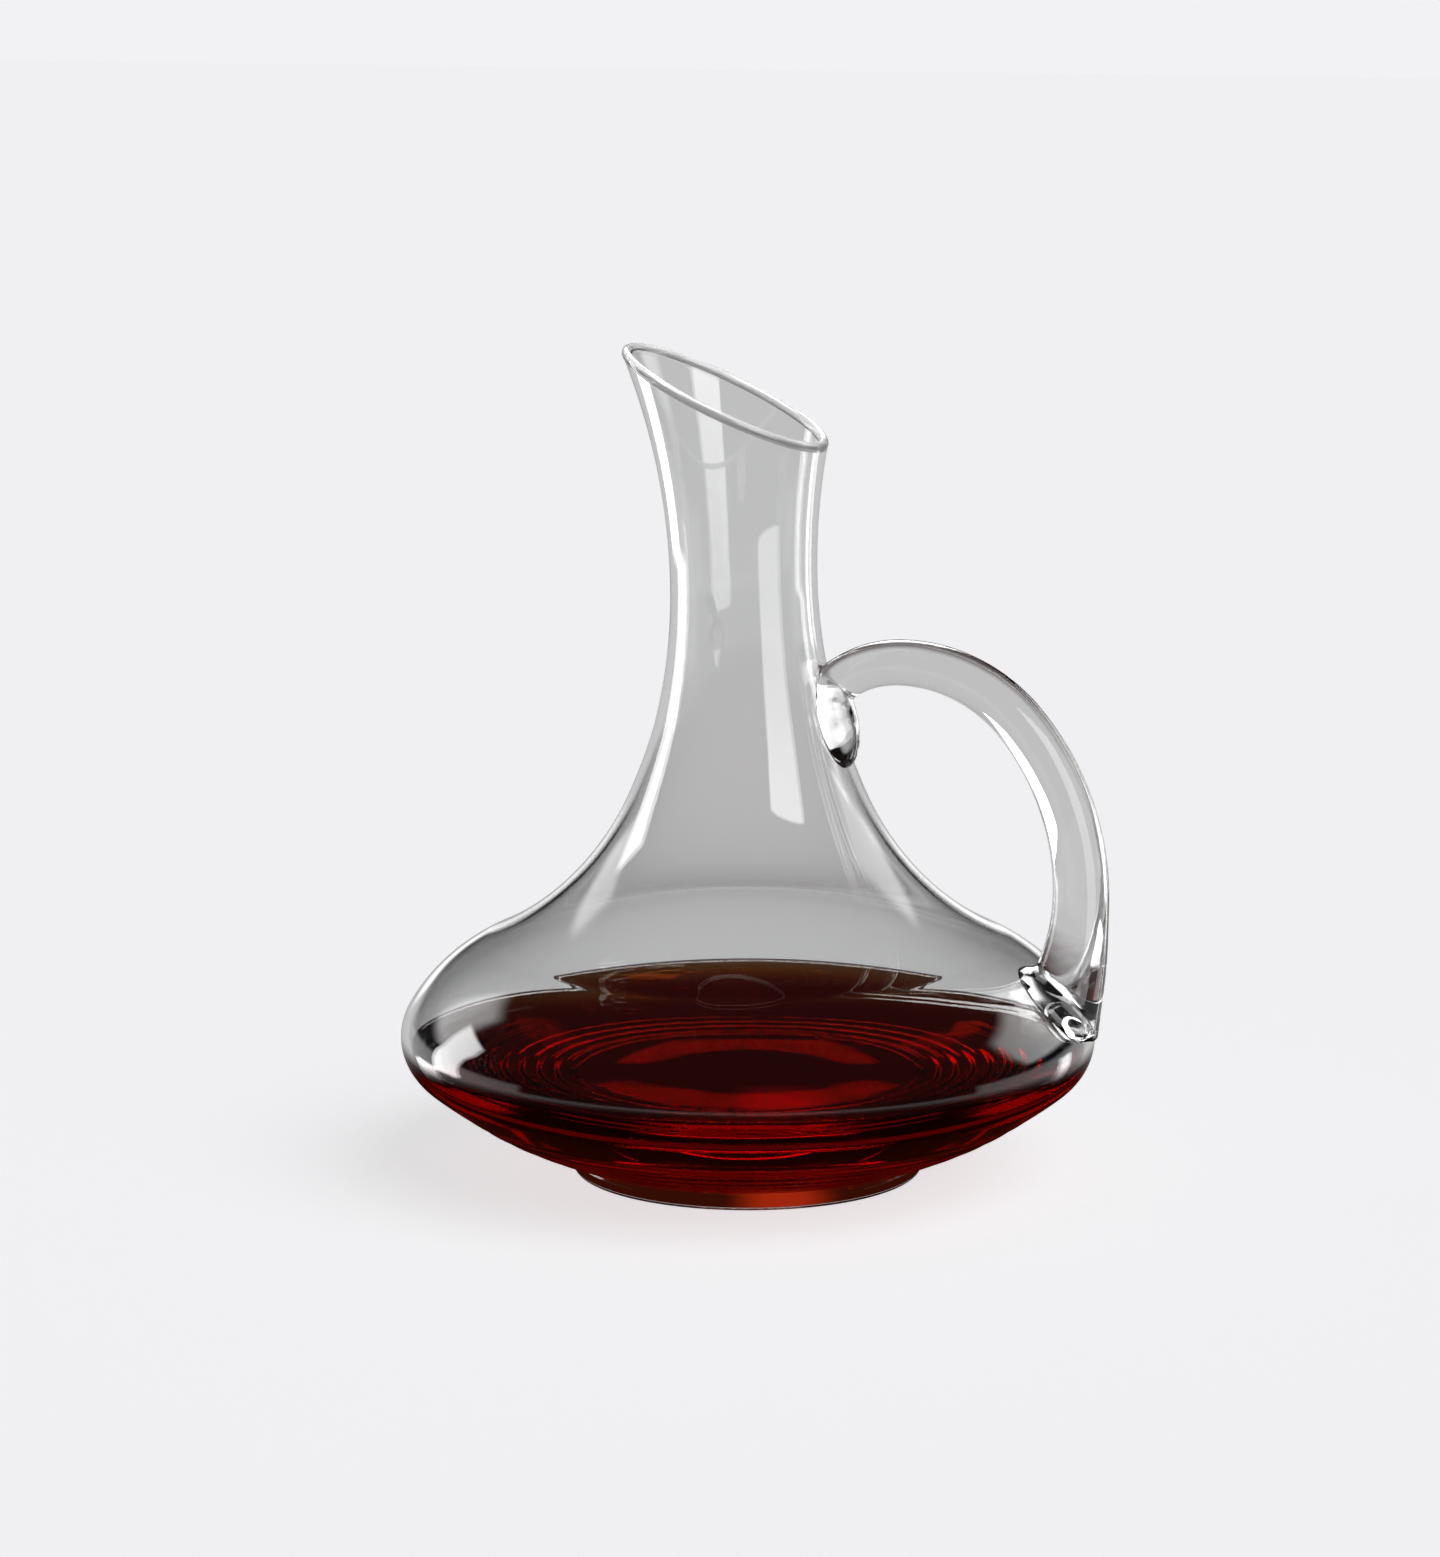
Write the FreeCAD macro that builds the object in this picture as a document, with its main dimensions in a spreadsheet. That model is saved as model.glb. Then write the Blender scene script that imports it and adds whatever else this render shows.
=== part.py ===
import FreeCAD, Part
import math
import os

import Sketcher

# Wine decanter: a blown glass vessel on an applied foot, a drawn glass handle and the wine it holds.
# Millimetres. +Z is up, the origin is on the vessel's axis where the foot meets the table,
# +X points to the handle and -X to the pouring lip.

SIZES = {
    # Vessel: radii and heights of its outer surface, and the curvature of each stretch of it.
    "wall": 2.4,
    "base_radius": 48.5,
    "under_curve": 127,
    "wide_radius": 100,
    "wide_height": 40,
    "bulge_curve": 15,
    "shoulder_start": 47.6,
    "shoulder_curve": 50,
    "sweep_curve": 84.5,
    "neck_curve": 153,
    "waist_radius": 21,
    "waist_height": 172,
    # Flared neck above the bowl, which leans a little to the pouring lip.
    "neck_join": 130,
    "neck_top": 250,
    "flare_curve": 185,
    "lean_slope": 0.031,
    # Mouth: height of the slanted cut on the axis, its fall per millimetre towards the handle.
    "mouth_height": 222.9,
    "mouth_slope": 0.437,
    "mouth_reach": 60,
    "mouth_ceiling": 260,
    "rim_round": 0.9,
    # Rings left by the mould on the underside of the bowl.
    "ring_radius": 1.1,
    "ring_depth": 0.7,
    "ring_first": 54,
    "ring_pitch": 5,
    # Foot.
    "foot_radius": 50.5,
    "foot_height": 5,
    "foot_round": 1.9,
    # Handle: where its loop peaks, the curvature of each stretch, and its thickness.
    "peak_reach": 44.8,
    "peak_height": 149.8,
    "root_curve": 30,
    "crown_curve": 45,
    "back_curve": 76,
    "tuck_curve": 100,
    "lead_in": 5,
    "run_out": 9,
    "rod_slim": 6.2,
    "rod_thick": 8.3,
    "flare_slim": 11,
    "flare_wide": 12.8,
    # Teardrop of glass where the handle was pressed on the neck, and the pad on the shoulder.
    "tail_reach": 27,
    "tail_height": 133,
    "tail_long": 14,
    "tail_wide": 7.6,
    "tail_thick": 6.2,
    "pad_reach": 90.5,
    "pad_height": 55,
    "pad_long": 13.5,
    "pad_thick": 6,
    # Wine.
    "wine_level": 37,
    "wine_reach": 110,
}

NECK_SECTIONS = 8
RING_COUNT = 7
TAIL_TURN = -9
TAIL_TILT = 13
PAD_TURN = -4
PAD_TILT = -42

# Direction of the outline where each of its arcs begins and where the last one ends,
# near enough for the sketch solver to start from.
OUTLINE_TURNS = {"bulge": 39.3, "shoulder": 119.8, "sweep": 155.4, "neck": 113.4, "join": 105.9}
# Radii that the solver starts from before the sheet drives them.
NECK_GUESS = 20
ROD_GUESS = 6

# The handle's path by direction: each stretch is an arc from one direction to the next.
PATH_STRETCHES = (
    ("root_curve", 40, 0),
    ("crown_curve", 0, -50),
    ("back_curve", -50, -90),
    ("tuck_curve", -90, -107),
)


def make_sheet(doc):
    sheet = doc.addObject("Spreadsheet::Sheet", "Sizes")
    for row, (alias, value) in enumerate(SIZES.items(), start=1):
        sheet.set(f"A{row}", alias)
        sheet.set(f"B{row}", str(value))
        sheet.setAlias(f"B{row}", alias)
    doc.recompute()
    return sheet


def plane_of(body, role):
    return next(feature for feature in body.Origin.OriginFeatures if feature.Role == role)


def new_sketch(body, name, role):
    sketch = body.newObject("Sketcher::SketchObject", name)
    sketch.AttachmentSupport = (plane_of(body, role), [""])
    sketch.MapMode = "FlatFace"
    return sketch


def bind(sketch, constraint, expression):
    """Add a dimension to the sketch and drive it from the sheet."""
    index = sketch.addConstraint(constraint)
    sketch.setExpression(f"Constraints[{index}]", expression)


def add_round(sketch, guess, expression):
    """A circle about the sketch's origin with its radius driven from the sheet."""
    centre = 3
    origin, origin_point = -1, 1
    ring = sketch.addGeometry(Part.Circle(FreeCAD.Vector(), FreeCAD.Vector(0, 0, 1), guess), False)
    sketch.addConstraint(Sketcher.Constraint("Coincident", ring, centre, origin, origin_point))
    bind(sketch, Sketcher.Constraint("Radius", ring, guess), expression)


def unit(heading):
    angle = math.radians(heading)
    return FreeCAD.Vector(math.cos(angle), math.sin(angle), 0)


def arc_from(start, heading, radius, turn):
    """An arc that leaves start along heading and turns by turn degrees, left when positive."""
    side = math.copysign(1, turn)
    centre = start + unit(heading + 90 * side) * radius
    first = heading - 90 * side
    last = first + turn
    low = math.radians(min(first, last))
    high = math.radians(max(first, last))
    circle = Part.Circle(centre, FreeCAD.Vector(0, 0, 1), radius)
    return Part.ArcOfCircle(circle, low, high), centre + unit(last) * radius


def arc_end(start, heading, radius, turn):
    arc, end = arc_from(start, heading, radius, turn)
    return end


def outline_sketch(body, sizes):
    """Half of the vessel's outer outline, from the foot to where the neck's loft begins."""
    sketch = new_sketch(body, "Outline", "XZ_Plane")
    base_end = FreeCAD.Vector(sizes.base_radius, sizes.foot_height, 0)
    bulge_turn = OUTLINE_TURNS["bulge"]
    bulge_centre = FreeCAD.Vector(sizes.wide_radius - sizes.bulge_curve, sizes.wide_height, 0)
    bulge_start = bulge_centre + unit(bulge_turn - 90) * sizes.bulge_curve
    under_centre = bulge_start + unit(bulge_turn + 90) * sizes.under_curve
    chord = base_end - under_centre
    under_first = math.atan2(chord.y, chord.x)
    under_last = math.radians(bulge_turn - 90)
    under_circle = Part.Circle(under_centre, FreeCAD.Vector(0, 0, 1), sizes.under_curve)

    arcs = [Part.ArcOfCircle(under_circle, under_first, under_last)]
    stretches = (
        ("bulge", sizes.bulge_curve, OUTLINE_TURNS["shoulder"] - OUTLINE_TURNS["bulge"]),
        ("shoulder", sizes.shoulder_curve, OUTLINE_TURNS["sweep"] - OUTLINE_TURNS["shoulder"]),
        ("sweep", sizes.sweep_curve, OUTLINE_TURNS["neck"] - OUTLINE_TURNS["sweep"]),
        ("neck", sizes.neck_curve, OUTLINE_TURNS["join"] - OUTLINE_TURNS["neck"]),
    )
    place = bulge_start
    for name, radius, turn in stretches:
        arc, place = arc_from(place, OUTLINE_TURNS[name], radius, turn)
        arcs.append(arc)

    axis_foot = FreeCAD.Vector(0, sizes.foot_height, 0)
    axis_top = FreeCAD.Vector(0, sizes.neck_join, 0)
    base = sketch.addGeometry(Part.LineSegment(axis_foot, base_end), False)
    under, bulge, shoulder, sweep, neck = [sketch.addGeometry(arc, False) for arc in arcs]
    top = sketch.addGeometry(Part.LineSegment(place, axis_top), False)
    axis = sketch.addGeometry(Part.LineSegment(axis_top, axis_foot), False)

    # Left-turning arcs run from their first point to their second, right-turning ones back.
    start, end, centre = 1, 2, 3
    origin, origin_point, upright = -1, 1, -2
    add = sketch.addConstraint
    add(Sketcher.Constraint("PointOnObject", base, start, upright))
    add(Sketcher.Constraint("Horizontal", base))
    add(Sketcher.Constraint("Coincident", base, end, under, start))
    add(Sketcher.Constraint("Tangent", under, end, bulge, start))
    add(Sketcher.Constraint("Tangent", bulge, end, shoulder, start))
    add(Sketcher.Constraint("Tangent", shoulder, end, sweep, end))
    add(Sketcher.Constraint("Tangent", sweep, start, neck, end))
    add(Sketcher.Constraint("Coincident", neck, start, top, start))
    add(Sketcher.Constraint("Horizontal", top))
    add(Sketcher.Constraint("PointOnObject", top, end, upright))
    add(Sketcher.Constraint("Coincident", top, end, axis, start))
    add(Sketcher.Constraint("Coincident", axis, end, base, start))
    for geometry, alias in ((under, "under_curve"), (bulge, "bulge_curve"), (shoulder, "shoulder_curve"),
                            (sweep, "sweep_curve"), (neck, "neck_curve")):
        bind(sketch, Sketcher.Constraint("Radius", geometry, getattr(sizes, alias)), f"Sizes.{alias}")
    places = (
        ("DistanceX", base, end, "Sizes.base_radius"),
        ("DistanceY", base, end, "Sizes.foot_height"),
        ("DistanceX", bulge, centre, "Sizes.wide_radius - Sizes.bulge_curve"),
        ("DistanceY", bulge, centre, "Sizes.wide_height"),
        ("DistanceY", bulge, end, "Sizes.shoulder_start"),
        ("DistanceX", neck, centre, "Sizes.waist_radius + Sizes.neck_curve"),
        ("DistanceY", neck, centre, "Sizes.waist_height"),
        ("DistanceY", neck, start, "Sizes.neck_join"),
    )
    for kind, geometry, position, expression in places:
        where = sketch.getPoint(geometry, position)
        value = where.x if kind == "DistanceX" else where.y
        bind(sketch, Sketcher.Constraint(kind, origin, origin_point, geometry, position, value), expression)
    return sketch, under


def add_outer_form(body, sizes):
    """The vessel's outer form as a solid: the turned bowl, then the lofted neck above it."""
    outline, under = outline_sketch(body, sizes)
    bowl = body.newObject("PartDesign::Revolution", "Bowl")
    bowl.Profile = outline
    bowl.ReferenceAxis = (outline, ["V_Axis"])
    bowl.Angle = 360
    sections = []
    step = (sizes.neck_top - sizes.neck_join) / (NECK_SECTIONS - 1)
    for number in range(NECK_SECTIONS):
        height = f"(Sizes.neck_join + {number} * (Sizes.neck_top - Sizes.neck_join) / {NECK_SECTIONS - 1})"
        curve = "neck_curve" if sizes.neck_join + number * step < sizes.waist_height else "flare_curve"
        rise = f"({height} - Sizes.waist_height)"
        radius = f"Sizes.waist_radius + Sizes.{curve} - sqrt(Sizes.{curve}^2 - {rise}^2)"
        section = new_sketch(body, f"NeckSection{number + 1}", "XY_Plane")
        section.setExpression("AttachmentOffset.Base.x", f"-Sizes.lean_slope * ({height} - Sizes.neck_join)")
        section.setExpression("AttachmentOffset.Base.z", height)
        add_round(section, NECK_GUESS, radius)
        sections.append(section)
    neck = body.newObject("PartDesign::AdditiveLoft", "Neck")
    neck.Profile = sections[0]
    neck.Sections = sections[1:]
    return outline, under


def make_envelope(doc, sizes):
    """The outer form alone: it trims the handle and bounds the wine, and isn't a piece."""
    body = doc.addObject("PartDesign::Body", "Envelope")
    add_outer_form(body, sizes)
    return body


def faces_along(shape, normal):
    names = []
    for number, face in enumerate(shape.Faces, start=1):
        if face.Surface.TypeId == "Part::GeomPlane" and face.normalAt(0, 0).dot(normal) > 0.999:
            names.append(f"Face{number}")
    return names


def make_vessel(doc, sizes):
    body = doc.addObject("PartDesign::Body", "Vessel")
    body.Label = "vessel"
    outline, under = add_outer_form(body, sizes)

    cut = new_sketch(body, "MouthOutline", "XZ_Plane")
    reach = sizes.mouth_reach
    drop = reach * sizes.mouth_slope
    ceiling_height = sizes.mouth_ceiling
    corners = [(-reach, sizes.mouth_height + drop), (reach, sizes.mouth_height - drop),
               (reach, ceiling_height), (-reach, ceiling_height)]
    corners = [FreeCAD.Vector(x, z, 0) for x, z in corners]
    lines = []
    for here, there in zip(corners, corners[1:] + corners[:1]):
        lines.append(cut.addGeometry(Part.LineSegment(here, there), False))
    for this, following in zip(lines, lines[1:] + lines[:1]):
        cut.addConstraint(Sketcher.Constraint("Coincident", this, 2, following, 1))
    slant, right, ceiling, left = lines
    cut.addConstraint(Sketcher.Constraint("Vertical", right))
    cut.addConstraint(Sketcher.Constraint("Vertical", left))
    cut.addConstraint(Sketcher.Constraint("Horizontal", ceiling))
    bind(cut, Sketcher.Constraint("DistanceX", slant, 1, -1, 1, reach), "Sizes.mouth_reach")
    bind(cut, Sketcher.Constraint("DistanceX", -1, 1, slant, 2, reach), "Sizes.mouth_reach")
    bind(cut, Sketcher.Constraint("DistanceY", -1, 1, slant, 1, corners[0].y),
         "Sizes.mouth_height + Sizes.mouth_reach * Sizes.mouth_slope")
    bind(cut, Sketcher.Constraint("DistanceY", -1, 1, slant, 2, corners[1].y),
         "Sizes.mouth_height - Sizes.mouth_reach * Sizes.mouth_slope")
    bind(cut, Sketcher.Constraint("DistanceY", -1, 1, ceiling, 1, ceiling_height), "Sizes.mouth_ceiling")
    mouth = body.newObject("PartDesign::Pocket", "Mouth")
    mouth.Profile = cut
    mouth.SideType = "Symmetric"
    mouth.setExpression("Length", "4 * Sizes.mouth_reach")
    doc.recompute()

    # The blown wall is even, so the form is hollowed inwards through its slanted mouth.
    slant_normal = FreeCAD.Vector(sizes.mouth_slope, 0, 1).normalize()
    blown = body.newObject("PartDesign::Thickness", "BlownWall")
    blown.Base = (mouth, faces_along(mouth.Shape, slant_normal))
    blown.setExpression("Value", "Sizes.wall")
    blown.Reversed = True
    blown.Join = "Intersection"
    doc.recompute()

    rim_face = blown.Shape.getElement(faces_along(blown.Shape, slant_normal)[0])
    rim_edges = []
    for number, edge in enumerate(blown.Shape.Edges, start=1):
        if any(edge.isSame(other) for other in rim_face.Edges):
            rim_edges.append(f"Edge{number}")
    rim = body.newObject("PartDesign::Fillet", "FirePolishedRim")
    rim.Base = (blown, rim_edges)
    rim.setExpression("Radius", "Sizes.rim_round")
    doc.recompute()

    add_rings(body, sizes, outline, under)
    return body


def add_rings(body, sizes, outline, under):
    """Low rings on the underside: each is a torus sunk in the wall, with its crest left proud."""
    sketch = new_sketch(body, "RingOutline", "XZ_Plane")
    centre = outline.Geometry[under].Center
    track = sizes.under_curve - sizes.ring_depth
    for number in range(RING_COUNT):
        reach = sizes.ring_first + number * sizes.ring_pitch
        height = centre.y - math.sqrt(track ** 2 - (reach - centre.x) ** 2)
        where = FreeCAD.Vector(reach, height, 0)
        ring = sketch.addGeometry(Part.Circle(where, FreeCAD.Vector(0, 0, 1), sizes.ring_radius), False)
        bind(sketch, Sketcher.Constraint("Radius", ring, sizes.ring_radius), "Sizes.ring_radius")
        bind(sketch, Sketcher.Constraint("DistanceX", -1, 1, ring, 3, reach),
             f"Sizes.ring_first + {number} * Sizes.ring_pitch")
        sketch.addConstraint(Sketcher.Constraint("DistanceY", -1, 1, ring, 3, height))
    rings = body.newObject("PartDesign::Revolution", "MouldRings")
    rings.Profile = sketch
    rings.ReferenceAxis = (sketch, ["V_Axis"])
    rings.Angle = 360


def make_foot(doc, sizes):
    body = doc.addObject("PartDesign::Body", "Foot")
    body.Label = "foot"
    sketch = new_sketch(body, "FootOutline", "XY_Plane")
    add_round(sketch, sizes.foot_radius, "Sizes.foot_radius")
    pad = body.newObject("PartDesign::Pad", "FootDisc")
    pad.Profile = sketch
    pad.setExpression("Length", "Sizes.foot_height")
    doc.recompute()
    edges = []
    for number, edge in enumerate(pad.Shape.Edges, start=1):
        if edge.Curve.TypeId == "Part::GeomCircle":
            edges.append(f"Edge{number}")
    rounded = body.newObject("PartDesign::Fillet", "FootEdge")
    rounded.Base = (pad, edges)
    rounded.setExpression("Radius", "Sizes.foot_round")
    return body


def handle_stations(sizes):
    """Centres and directions along the handle's path, from inside the neck to inside the shoulder."""
    crest = FreeCAD.Vector(sizes.peak_reach, sizes.peak_height, 0)
    root_alias, root_heading, crest_heading = PATH_STRETCHES[0]
    place = arc_end(crest, 180 + crest_heading, getattr(sizes, root_alias), root_heading - crest_heading)
    stations = [(place - unit(root_heading) * sizes.lead_in, root_heading)]
    for alias, first, last in PATH_STRETCHES:
        radius = getattr(sizes, alias)
        middle = (first + last) / 2
        halfway = arc_end(place, first, radius, middle - first)
        place = arc_end(halfway, middle, radius, last - middle)
        stations.append((halfway, middle))
        stations.append((place, last))
    final_heading = PATH_STRETCHES[-1][2]
    stations.append((place + unit(final_heading) * sizes.run_out, final_heading))
    return stations


def place_on_vessel(rod, name, place, turn, tilt, radii):
    """An ellipsoid of glass joined to the rod, turned about the axis and tilted with the surface."""
    blob = rod.newObject("PartDesign::AdditiveEllipsoid", name)
    blob.AttachmentSupport = (plane_of(rod, "XY_Plane"), [""])
    blob.MapMode = "FlatFace"
    around = FreeCAD.Rotation(FreeCAD.Vector(0, 0, 1), turn)
    tilted = FreeCAD.Rotation(FreeCAD.Vector(0, 1, 0), -tilt)
    reach, height = place
    centre = around.multVec(FreeCAD.Vector(reach, 0, height))
    blob.AttachmentOffset = FreeCAD.Placement(centre, around * tilted)
    for number, alias in enumerate(radii, start=1):
        blob.setExpression(f"Radius{number}", f"Sizes.{alias}")


def make_handle(doc, sizes, envelope):
    rod = doc.addObject("PartDesign::Body", "HandleRod")
    stations = handle_stations(sizes)
    sections = []
    last_rod = len(stations) - 3
    for number, (place, heading) in enumerate(stations):
        if number <= last_rod:
            radius = f"Sizes.rod_slim + (Sizes.rod_thick - Sizes.rod_slim) * ({number} / {last_rod})"
        elif number == last_rod + 1:
            radius = "Sizes.flare_slim"
        else:
            radius = "Sizes.flare_wide"
        section = new_sketch(rod, f"RodSection{number + 1}", "YZ_Plane")
        turned = FreeCAD.Rotation(FreeCAD.Vector(1, 0, 0), -heading)
        section.AttachmentOffset = FreeCAD.Placement(FreeCAD.Vector(0, place.y, place.x), turned)
        add_round(section, ROD_GUESS, radius)
        sections.append(section)
    drawn = rod.newObject("PartDesign::AdditiveLoft", "DrawnRod")
    drawn.Profile = sections[0]
    drawn.Sections = sections[1:]
    doc.recompute()

    place_on_vessel(rod, "Teardrop", (sizes.tail_reach, sizes.tail_height), TAIL_TURN, TAIL_TILT,
                    ("tail_long", "tail_thick", "tail_wide"))
    place_on_vessel(rod, "ShoulderPad", (sizes.pad_reach, sizes.pad_height), PAD_TURN, PAD_TILT,
                    ("pad_thick", "pad_long", "pad_long"))
    doc.recompute()

    handle = doc.addObject("Part::Cut", "Handle")
    handle.Label = "handle"
    handle.Base = rod
    handle.Tool = envelope
    return handle


def make_wine(doc, envelope, vessel):
    column = doc.addObject("Part::Cylinder", "WineColumn")
    column.setExpression("Radius", "Sizes.wine_reach")
    column.setExpression("Height", "Sizes.wine_level")
    filled = doc.addObject("Part::Common", "FilledForm")
    filled.Base = envelope
    filled.Tool = column
    wine = doc.addObject("Part::Cut", "Wine")
    wine.Label = "wine"
    wine.Base = filled
    wine.Tool = vessel
    return wine


def check(doc, pieces):
    for item in doc.Objects:
        if "Invalid" in item.State or "Error" in item.State:
            raise RuntimeError(f"{item.Label} failed: {item.State}")
    for piece in pieces:
        if piece.Shape.isNull() or not piece.Shape.isValid():
            raise RuntimeError(f"{piece.Label} has no valid shape")
        if len(piece.Shape.Solids) != 1:
            raise RuntimeError(f"{piece.Label} has {len(piece.Shape.Solids)} solids")


def build():
    doc = FreeCAD.newDocument("WineDecanter")
    sizes = make_sheet(doc)
    envelope = make_envelope(doc, sizes)
    vessel = make_vessel(doc, sizes)
    foot = make_foot(doc, sizes)
    handle = make_handle(doc, sizes, envelope)
    wine = make_wine(doc, envelope, vessel)
    doc.recompute()
    pieces = [vessel, foot, handle, wine]
    check(doc, pieces)
    os.makedirs("parts", exist_ok=True)
    for piece in pieces:
        piece.Shape.exportStep(f"parts/{piece.Label}.step")
    return doc


build()
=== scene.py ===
"""Wine decanter: clear blown glass with a drawn handle, part filled with red wine."""

import math

import bmesh
import bpy
from mathutils import Matrix, Vector


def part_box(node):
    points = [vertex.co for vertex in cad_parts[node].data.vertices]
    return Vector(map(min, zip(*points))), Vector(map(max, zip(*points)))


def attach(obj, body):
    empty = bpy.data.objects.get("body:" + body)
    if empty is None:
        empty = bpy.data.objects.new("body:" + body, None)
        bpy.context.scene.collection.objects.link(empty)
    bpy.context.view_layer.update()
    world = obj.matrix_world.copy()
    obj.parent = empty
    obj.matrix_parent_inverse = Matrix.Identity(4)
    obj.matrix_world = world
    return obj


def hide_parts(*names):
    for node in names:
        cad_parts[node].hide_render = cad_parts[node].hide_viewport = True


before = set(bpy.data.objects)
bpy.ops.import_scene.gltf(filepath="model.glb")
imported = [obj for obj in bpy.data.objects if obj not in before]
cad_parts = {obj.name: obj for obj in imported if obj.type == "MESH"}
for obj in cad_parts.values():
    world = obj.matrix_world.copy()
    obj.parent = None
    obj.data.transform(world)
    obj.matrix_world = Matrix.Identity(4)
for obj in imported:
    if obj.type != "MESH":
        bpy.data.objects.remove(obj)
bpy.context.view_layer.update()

# Sizes in metres, from the frame: the vessel's box gives the bowl's width, the foot's its height.
vessel_low, vessel_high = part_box("vessel")
foot_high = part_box("foot")[1]
wine_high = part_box("wine")[1]
WIDE_RADIUS = -vessel_low[0]
MOUTH_TOP_Z = vessel_high[2]
FOOT_RADIUS = foot_high[0]
BASE_Z = foot_high[2]
WINE_Z = wine_high[2]

# The outer outline is five arcs: under, bulge, shoulder, sweep and neck, then the flare to the mouth.
# Each is given by its radius of curvature, and by where it starts, ends or is widest. Above LEAN_Z the axis
# leans towards -X, away from the handle.
WALL = 0.0024
BASE_RADIUS = 0.0485
UNDER_CURVE = 0.127
WIDE_Z = 0.040
BULGE_CURVE = 0.015
SHOULDER_Z = 0.0476
SHOULDER_CURVE = 0.050
SWEEP_CURVE = 0.0845
NECK_CURVE = 0.153
WAIST_RADIUS = 0.021
WAIST_Z = 0.172
LEAN_Z = 0.130
LEAN_SLOPE = 0.031
FLARE_CURVE = 0.185
MOUTH_Z = 0.2229
MOUTH_SLOPE = 0.437
NECK_CUT_Z = 0.150

# How finely each arc is cut, for the glass, for the wine and for the shape that trims the handle.
GLASS_STEPS = (150, 40, 30, 60, 30)
WINE_STEPS = (60, 40, 30, 48, 24)
CORE_STEPS = (30, 20, 16, 30, 20)
AROUND = 256
CORE_AROUND = 128
# The wine and the foot each reach this far into the vessel's glass, so no film of air shows between them.
OVERLAP = 0.0003


# ---------------------------------------------------------------- outline

def circle_meeting(first, first_radius, second, second_radius, side):
    """The point at the given distances from two points, left or right of the line between them."""
    gap = second - first
    distance = gap.length
    along = (first_radius ** 2 - second_radius ** 2 + distance ** 2) / (2 * distance)
    across = math.sqrt(max(first_radius ** 2 - along ** 2, 0.0))
    direction = gap / distance
    normal = Vector((-direction.y, direction.x)) * side
    return first + direction * along + normal * across


def outline_arcs():
    """Each arc of the outline as its centre, radius, first and last angle; the neck's arcs bend inwards."""
    bulge = Vector((WIDE_RADIUS - BULGE_CURVE, WIDE_Z))
    base = Vector((BASE_RADIUS, BASE_Z))
    under = circle_meeting(base, UNDER_CURVE, bulge, UNDER_CURVE - BULGE_CURVE, 1)
    join_angle = math.asin((SHOULDER_Z - WIDE_Z) / BULGE_CURVE)
    join = bulge + Vector((math.cos(join_angle), math.sin(join_angle))) * BULGE_CURVE
    shoulder = join + (bulge - join).normalized() * SHOULDER_CURVE
    neck = Vector((WAIST_RADIUS + NECK_CURVE, WAIST_Z))
    sweep = circle_meeting(shoulder, SHOULDER_CURVE + SWEEP_CURVE, neck, NECK_CURVE - SWEEP_CURVE, 1)

    def angle(centre, point):
        return math.atan2(point.y - centre.y, point.x - centre.x)

    under_end = under + (bulge - under).normalized() * UNDER_CURVE
    sweep_start = shoulder + (sweep - shoulder).normalized() * SHOULDER_CURVE
    sweep_end = neck + (sweep - neck).normalized() * NECK_CURVE
    neck_angle = math.pi + math.asin((WAIST_Z - NECK_CUT_Z) / NECK_CURVE)
    full = 2 * math.pi
    return [
        (under, UNDER_CURVE, angle(under, base), angle(under, under_end), 1),
        (bulge, BULGE_CURVE, angle(bulge, under_end), join_angle, 1),
        (shoulder, SHOULDER_CURVE, join_angle, angle(shoulder, sweep_start), 1),
        (sweep, SWEEP_CURVE, angle(sweep, sweep_start) % full, angle(sweep, sweep_end) % full, -1),
        (neck, NECK_CURVE, angle(neck, sweep_end) % full, neck_angle, -1),
    ]


def outline_points(steps):
    """Points up the outline with their outward normals, as (radius, height, normal radius, normal height)."""
    points = []
    for (centre, radius, first, last, side), count in zip(outline_arcs(), steps):
        start = 1 if points else 0
        for step in range(start, count + 1):
            turn = first + (last - first) * step / count
            ray = Vector((math.cos(turn), math.sin(turn)))
            point = centre + ray * radius
            points.append((point.x, point.y, ray.x * side, ray.y * side))
    return points


# ---------------------------------------------------------------- mesh helpers

WELD_WITHIN = 1e-6


def ring_faces(rings, breaks=()):
    """Faces between neighbouring rings, but not after the rings in breaks; a one-point ring closes an end."""
    faces = []
    start = 0
    for number in range(len(rings) - 1):
        low_count, high_count = len(rings[number]), len(rings[number + 1])
        lower, upper = start, start + low_count
        start = upper
        if number in breaks:
            continue
        count = max(low_count, high_count)
        for step in range(count):
            following = (step + 1) % count
            if low_count == 1:
                faces.append((lower, upper + following, upper + step))
            elif high_count == 1:
                faces.append((lower + step, lower + following, upper))
            else:
                faces.append((lower + step, lower + following, upper + following, upper + step))
    return faces


def add_object(name, data):
    """A new object in the scene."""
    found = bpy.data.objects.new(name, data)
    bpy.context.scene.collection.objects.link(found)
    return found


def ring_mesh(name, rings, breaks=()):
    """A smooth piece from rings that run up its outside and down its inside."""
    points = [point for ring in rings for point in ring]
    mesh = bpy.data.meshes.new(name)
    mesh.from_pydata(points, [], ring_faces(rings, breaks))
    mesh.shade_smooth()
    return add_object(name, mesh)


def weld(mesh):
    """Join points that coincide and turn every face outwards."""
    work = bmesh.new()
    work.from_mesh(mesh)
    bmesh.ops.remove_doubles(work, verts=work.verts, dist=WELD_WITHIN)
    bmesh.ops.recalc_face_normals(work, faces=work.faces)
    work.to_mesh(mesh)
    work.free()
    mesh.shade_smooth()


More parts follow.
